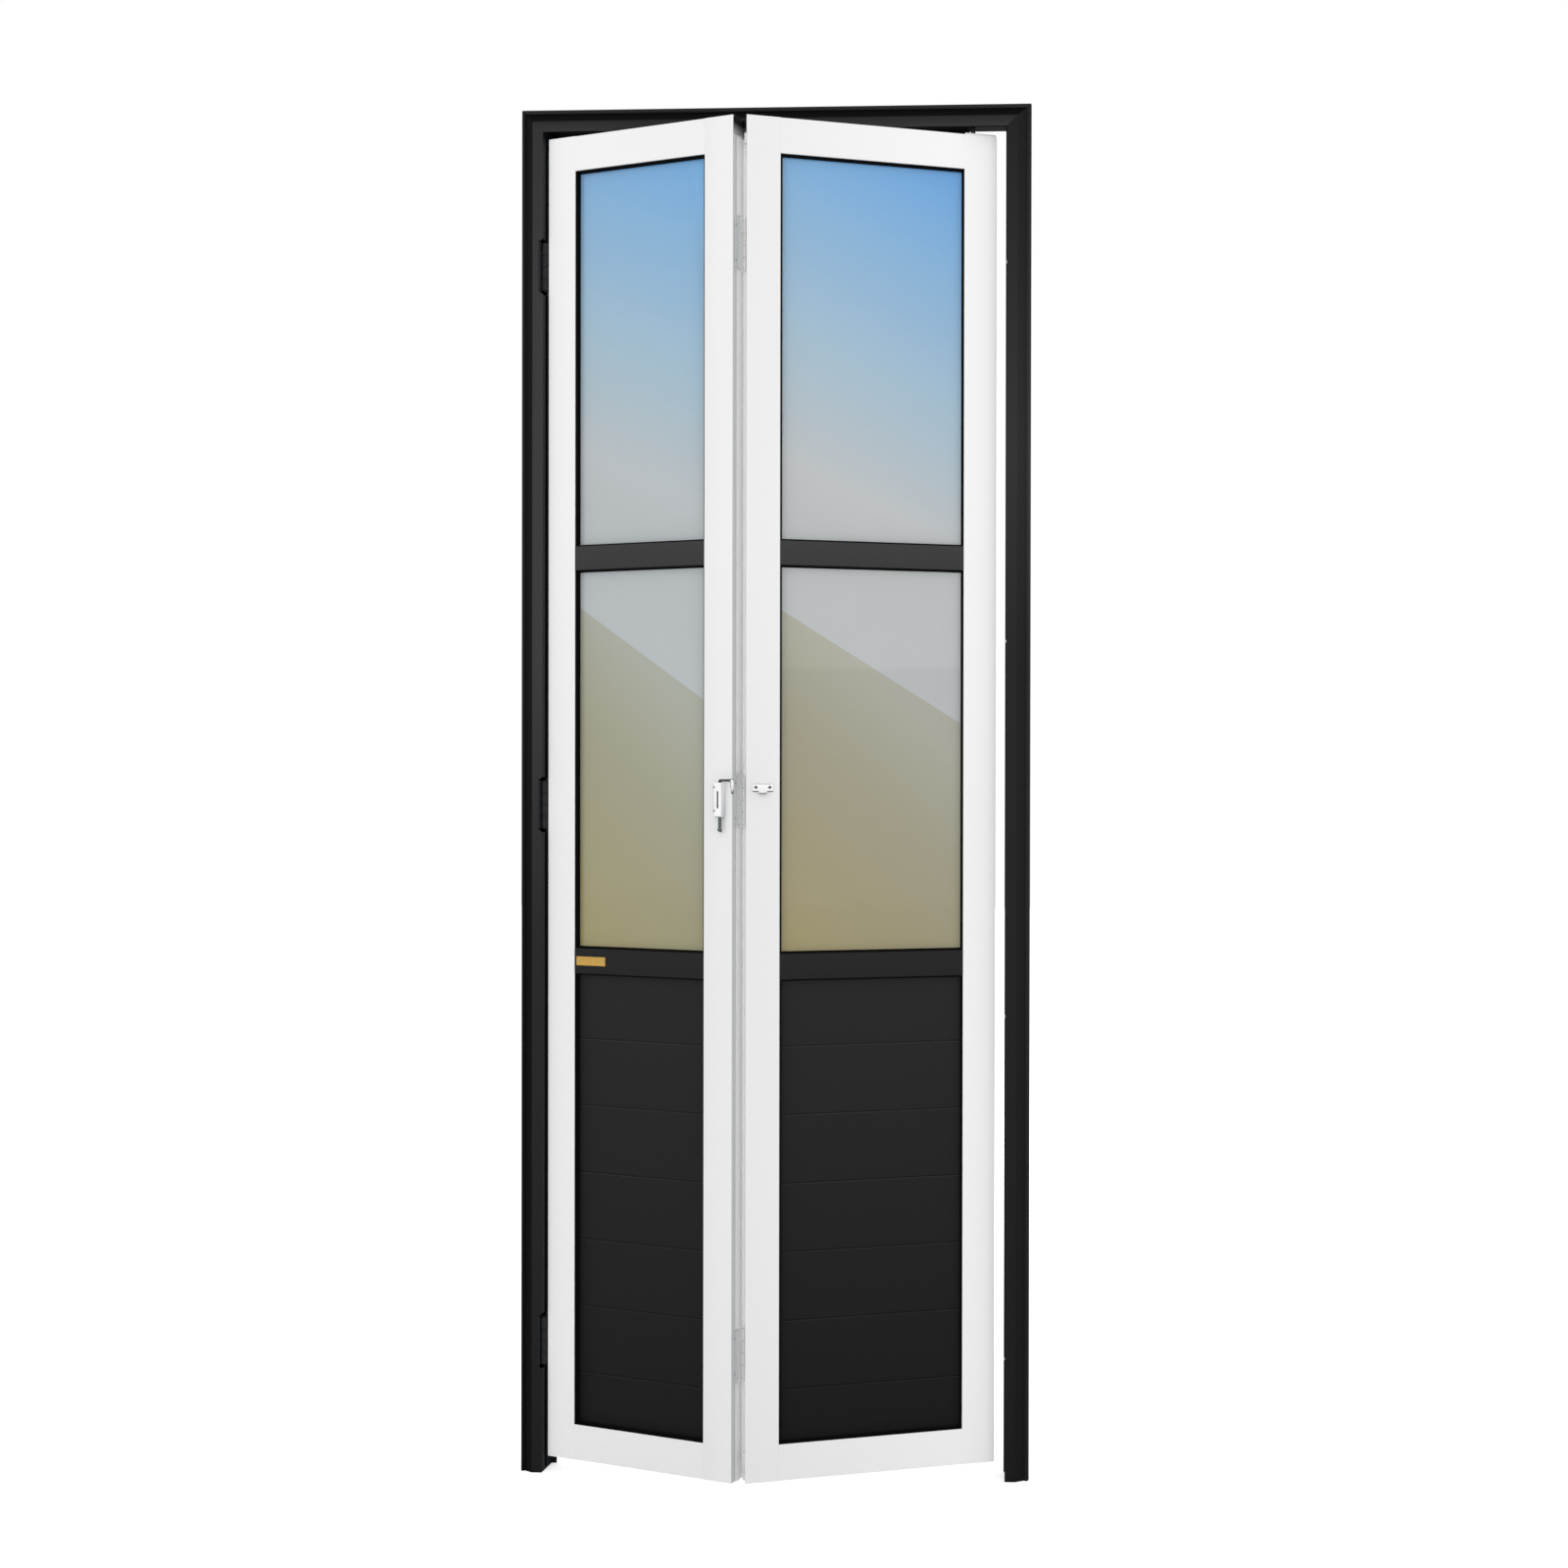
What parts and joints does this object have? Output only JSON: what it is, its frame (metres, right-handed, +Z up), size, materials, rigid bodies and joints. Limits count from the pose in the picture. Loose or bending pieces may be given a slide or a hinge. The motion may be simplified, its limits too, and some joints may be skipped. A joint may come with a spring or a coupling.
{
  "type": "bifold door",
  "caption": "Folding interior door of two hinged glazed leaves in a trimmed frame, guided by a roller in the head track and held shut by a hooked fold latch.",
  "frame": {"origin": "foot of the hinge jamb's face that meets the wall, at floor level and in the front plane of the wall, which is where the door is fastened first", "axes": "+Z up, +X across the opening from the hinge jamb to the other jamb, +Y from the side that the door folds out to, through the wall"},
  "size_m": [0.8, 0.1728, 2.13],
  "materials": {
    "frame_black": "fine matt black powder coat",
    "hinge_black": "satin black",
    "hinge_white": "satin light grey",
    "leaf_white": "satin white powder coat",
    "rail_charcoal": "matt charcoal powder coat",
    "slat_charcoal": "matt charcoal powder coat",
    "glass": "polished, reflecting the sky",
    "latch_white": "gloss white",
    "latch_steel": "dark plated",
    "guide_black": "moulded nylon, black",
    "nylon": "moulded nylon, dark"
  },
  "bodies": {
    "frame": {"jamb_left": "frame_black", "jamb_right": "frame_black", "head_track": "frame_black", "trim_left": "frame_black", "trim_right": "frame_black", "trim_head": "frame_black", "jamb_hinge_bottom_frame_half": "hinge_black", "jamb_hinge_bottom_pin": "hinge_black", "jamb_hinge_middle_frame_half": "hinge_black", "jamb_hinge_middle_pin": "hinge_black", "jamb_hinge_top_frame_half": "hinge_black", "jamb_hinge_top_pin": "hinge_black"},
    "leaf_1": {"leaf_1_left_stile": "leaf_white", "leaf_1_right_stile": "leaf_white", "leaf_1_top_rail": "leaf_white", "leaf_1_upper_mid_rail": "rail_charcoal", "leaf_1_lower_mid_rail": "rail_charcoal", "leaf_1_bottom_rail": "leaf_white", "leaf_1_upper_glass": "glass", "leaf_1_lower_glass": "glass", "leaf_1_slat_1": "slat_charcoal", "leaf_1_slat_2": "slat_charcoal", "leaf_1_slat_3": "slat_charcoal", "leaf_1_slat_4": "slat_charcoal", "leaf_1_slat_5": "slat_charcoal", "leaf_1_slat_6": "slat_charcoal", "leaf_1_slat_7": "slat_charcoal", "jamb_hinge_bottom_leaf_half": "hinge_black", "jamb_hinge_middle_leaf_half": "hinge_black", "jamb_hinge_top_leaf_half": "hinge_black", "fold_hinge_bottom_leaf_1_half": "hinge_white", "fold_hinge_bottom_pin": "hinge_white", "fold_hinge_middle_leaf_1_half": "hinge_white", "fold_hinge_middle_pin": "hinge_white", "fold_hinge_top_leaf_1_half": "hinge_white", "fold_hinge_top_pin": "hinge_white", "latch_housing": "latch_white"},
    "leaf_2": {"leaf_2_left_stile": "leaf_white", "leaf_2_right_stile": "leaf_white", "leaf_2_top_rail": "leaf_white", "leaf_2_upper_mid_rail": "rail_charcoal", "leaf_2_lower_mid_rail": "rail_charcoal", "leaf_2_bottom_rail": "leaf_white", "leaf_2_upper_glass": "glass", "leaf_2_lower_glass": "glass", "leaf_2_slat_1": "slat_charcoal", "leaf_2_slat_2": "slat_charcoal", "leaf_2_slat_3": "slat_charcoal", "leaf_2_slat_4": "slat_charcoal", "leaf_2_slat_5": "slat_charcoal", "leaf_2_slat_6": "slat_charcoal", "leaf_2_slat_7": "slat_charcoal", "fold_hinge_bottom_leaf_2_half": "hinge_white", "fold_hinge_middle_leaf_2_half": "hinge_white", "fold_hinge_top_leaf_2_half": "hinge_white", "latch_keeper": "latch_white", "guide_pin": "guide_black"},
    "latch_slide": {"latch_collar": "latch_steel"},
    "latch_rod": {"latch_rod": "latch_steel"},
    "guide_roller": {"guide_roller": "nylon"}
  },
  "joints": [
    {"name": "leaf_1_hinge", "type": "hinge", "parent": "frame", "child": "leaf_1", "pos_m": [0.026, -0.0035, 1.045], "axis": [0, 0, -1], "range_deg": [-17, 58]},
    {"name": "leaf_fold", "type": "hinge", "parent": "leaf_1", "child": "leaf_2", "pos_m": [0.36297, -0.0762, 1.054], "axis": [0, 0, 1], "range_deg": [-34, 116]},
    {"name": "latch_lift", "type": "slide", "parent": "leaf_1", "child": "latch_slide", "axis": [0, 0, 1], "range_m": [0, 0.016]},
    {"name": "latch_swing", "type": "hinge", "parent": "latch_slide", "child": "latch_rod", "pos_m": [0.33418, -0.10556, 1.055], "axis": [0, 0, -1], "range_deg": [-33, 137]},
    {"name": "guide_roller_spin", "type": "hinge", "parent": "leaf_2", "child": "guide_roller", "pos_m": [0.69833, 0.00176, 2.1065], "axis": [0, 0, 1], "continuous": true}
  ],
  "couplings": [
    {"joint": "leaf_fold", "follows": "leaf_1_hinge", "ratio": 2}
  ]
}
